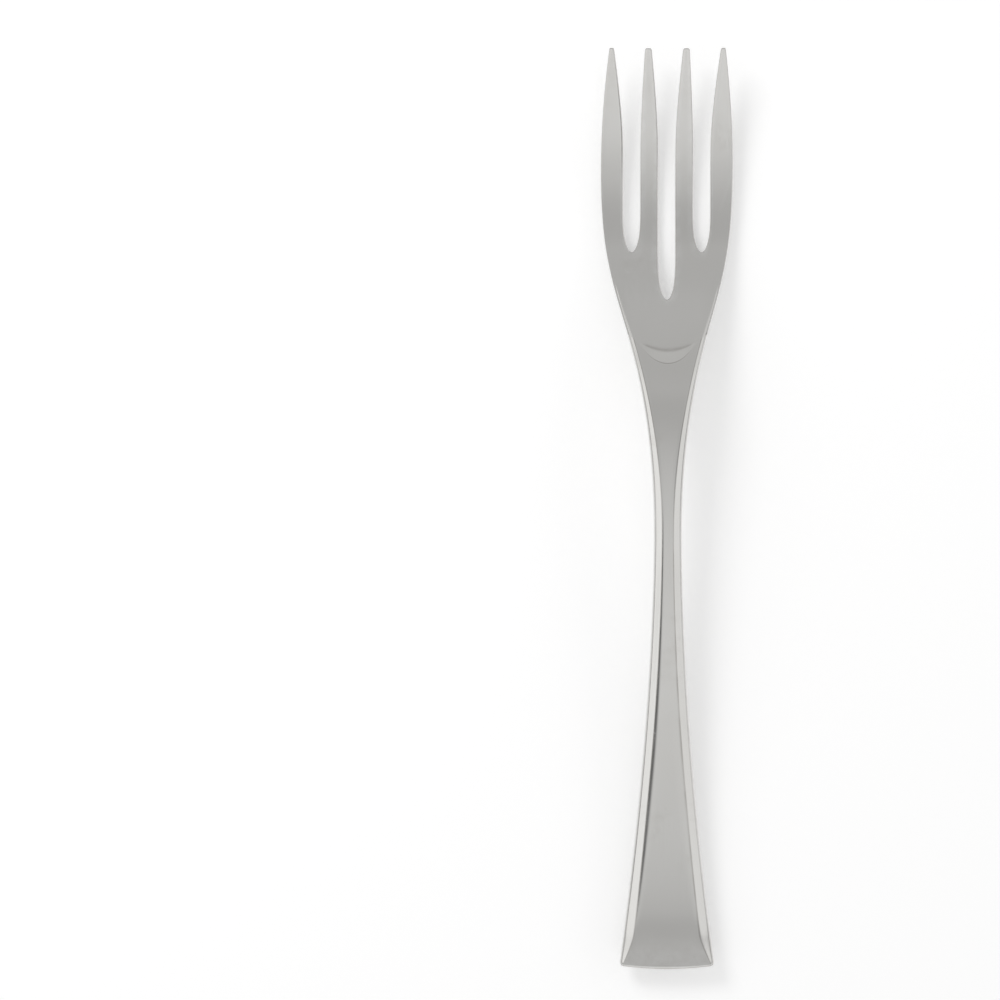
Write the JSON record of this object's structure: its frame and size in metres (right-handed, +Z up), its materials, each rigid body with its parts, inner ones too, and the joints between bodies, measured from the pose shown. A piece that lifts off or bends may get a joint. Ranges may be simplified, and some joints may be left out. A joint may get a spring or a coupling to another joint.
{
  "type": "serving fork",
  "caption": "Long-handled serving fork in polished steel: slotted tines on a dished head, and a waisted, flared hollow handle with raised rims around a sunk panel.",
  "frame": {"origin": "on the table under the middle of the fork's length and width, with the fork lying face up", "axes": "+Y along the fork towards the tine tips, +Z up out of the front face, +X to the right seen from above with the tines away"},
  "size_m": [0.0324, 0.225, 0.0158],
  "materials": {
    "head_steel": "polished",
    "front_steel": "polished",
    "back_steel": "polished",
    "filler": "matte"
  },
  "bodies": {
    "root": {"fork_head": "head_steel", "handle_front_shell": "front_steel", "handle_back_shell": "back_steel", "handle_filler": "filler"}
  },
  "joints": []
}
